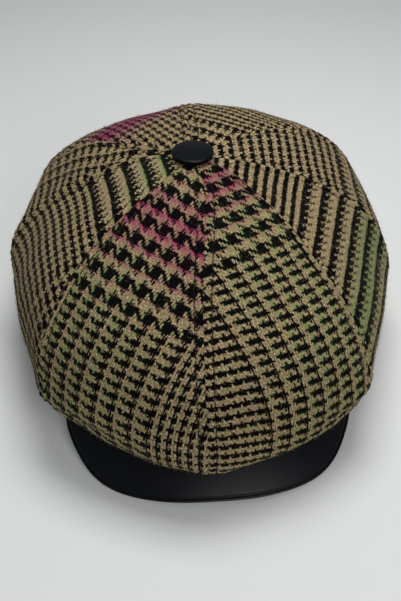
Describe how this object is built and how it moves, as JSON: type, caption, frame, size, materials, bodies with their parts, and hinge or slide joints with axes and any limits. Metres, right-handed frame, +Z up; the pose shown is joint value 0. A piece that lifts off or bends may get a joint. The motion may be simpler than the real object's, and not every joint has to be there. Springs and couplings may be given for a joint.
{
  "type": "newsboy cap with leather peak",
  "caption": "Full panelled newsboy cap in checked brushed wool with a short leather peak, a covered button on top and a plain headband.",
  "frame": {"origin": "on the ground under the middle of the cap's bounds", "axes": "+Z up through the button, -Y towards the peak, +X to the right as seen from the front"},
  "size_m": [0.2406, 0.268, 0.1429],
  "materials": {
    "wool_check": "thick brushed wool, black and tan check with a thin coloured overcheck",
    "band_wool": "the same wool, doubled",
    "black_leather": "smooth black leather, soft sheen"
  },
  "bodies": {
    "root": {"panel_front_left": "wool_check", "panel_front_right": "wool_check", "panel_side_front_left": "wool_check", "panel_side_front_right": "wool_check", "panel_side_rear_left": "wool_check", "panel_side_rear_right": "wool_check", "panel_rear_left": "wool_check", "panel_rear_right": "wool_check", "headband": "band_wool", "peak": "black_leather", "crown_button": "black_leather"}
  },
  "joints": []
}
